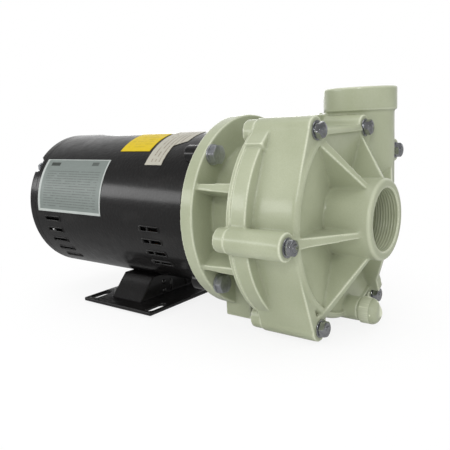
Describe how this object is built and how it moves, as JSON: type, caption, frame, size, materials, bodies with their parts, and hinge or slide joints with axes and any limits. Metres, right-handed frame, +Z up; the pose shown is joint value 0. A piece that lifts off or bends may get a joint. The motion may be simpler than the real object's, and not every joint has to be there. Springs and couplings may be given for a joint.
{
  "type": "centrifugal pump",
  "caption": "Close-coupled centrifugal pump: pale green plastic volute with front suction and upright discharge, on a black foot-mounted electric motor.",
  "frame": {"origin": "centre of the suction port's front face, on the shaft axis", "axes": "+X out of the suction port along the shaft, +Z up out of the discharge port, motor along -X"},
  "size_m": [0.3625, 0.2071, 0.1914],
  "materials": {
    "pump_plastic": "moulded, pale sage green, semi-gloss",
    "seal_rubber": "satin black",
    "bright_zinc": "bright zinc",
    "dull_zinc": "dull grey zinc",
    "impeller_plastic": "glass-filled, matte",
    "stainless": "turned",
    "seal_ceramic": "lapped ceramic, cream",
    "seal_carbon": "lapped carbon",
    "bearing_steel": "ground",
    "motor_casting": "gloss black",
    "motor_paint": "gloss black",
    "black_plastic": "matte",
    "lamination_steel": "stacked sheet edges",
    "winding": "varnished copper",
    "cast_aluminium": "as cast",
    "nameplate_foil": "pale grey-green film",
    "yellow_film": "printed film",
    "white_film": "printed film"
  },
  "bodies": {
    "frame": {"volute_casing": "pump_plastic", "casing_o_ring": "seal_rubber", "drain_plug": "pump_plastic", "drain_plug_o_ring": "seal_rubber", "motor_adapter": "pump_plastic", "casing_bolts": "bright_zinc", "casing_bolt_washers": "bright_zinc", "casing_nut_washers": "bright_zinc", "casing_nuts": "bright_zinc", "adapter_bolts": "dull_zinc", "adapter_bolt_washers": "dull_zinc", "seal_seat": "seal_ceramic", "seal_seat_cup": "seal_rubber", "front_bearing_outer_race": "bearing_steel", "rear_bearing_outer_race": "bearing_steel", "bearing_wave_washer": "bearing_steel", "front_end_bell": "motor_casting", "rear_end_bell": "motor_casting", "rear_cap": "black_plastic", "motor_shell": "motor_paint", "stator_core": "lamination_steel", "stator_windings": "winding", "motor_tie_bolts": "dull_zinc", "motor_base": "motor_paint", "terminal_cover": "motor_paint", "terminal_cover_screws": "dull_zinc", "nameplate": "nameplate_foil", "yellow_label": "yellow_film", "white_label": "white_film"},
    "rotor": {"motor_shaft": "stainless", "impeller": "impeller_plastic", "impeller_cover": "impeller_plastic", "impeller_insert": "stainless", "seal_carbon_ring": "seal_carbon", "seal_bellows": "seal_rubber", "seal_spring": "stainless", "shaft_slinger": "seal_rubber", "rotor_core": "lamination_steel", "rotor_cage": "cast_aluminium", "cooling_fan": "black_plastic", "front_bearing_inner_race": "bearing_steel", "rear_bearing_inner_race": "bearing_steel"},
    "front_balls": {"front_bearing_balls": "bearing_steel"},
    "rear_balls": {"rear_bearing_balls": "bearing_steel"}
  },
  "joints": [
    {"name": "shaft_spin", "type": "hinge", "parent": "frame", "child": "rotor", "pos_m": [0, 0, 0], "axis": [1, 0, 0], "continuous": true},
    {"name": "front_cage_spin", "type": "hinge", "parent": "frame", "child": "front_balls", "pos_m": [0, 0, 0], "axis": [1, 0, 0], "continuous": true},
    {"name": "rear_cage_spin", "type": "hinge", "parent": "frame", "child": "rear_balls", "pos_m": [0, 0, 0], "axis": [1, 0, 0], "continuous": true}
  ],
  "couplings": [
    {"joint": "front_cage_spin", "follows": "shaft_spin", "ratio": 0.38175},
    {"joint": "rear_cage_spin", "follows": "shaft_spin", "ratio": 0.38175}
  ]
}
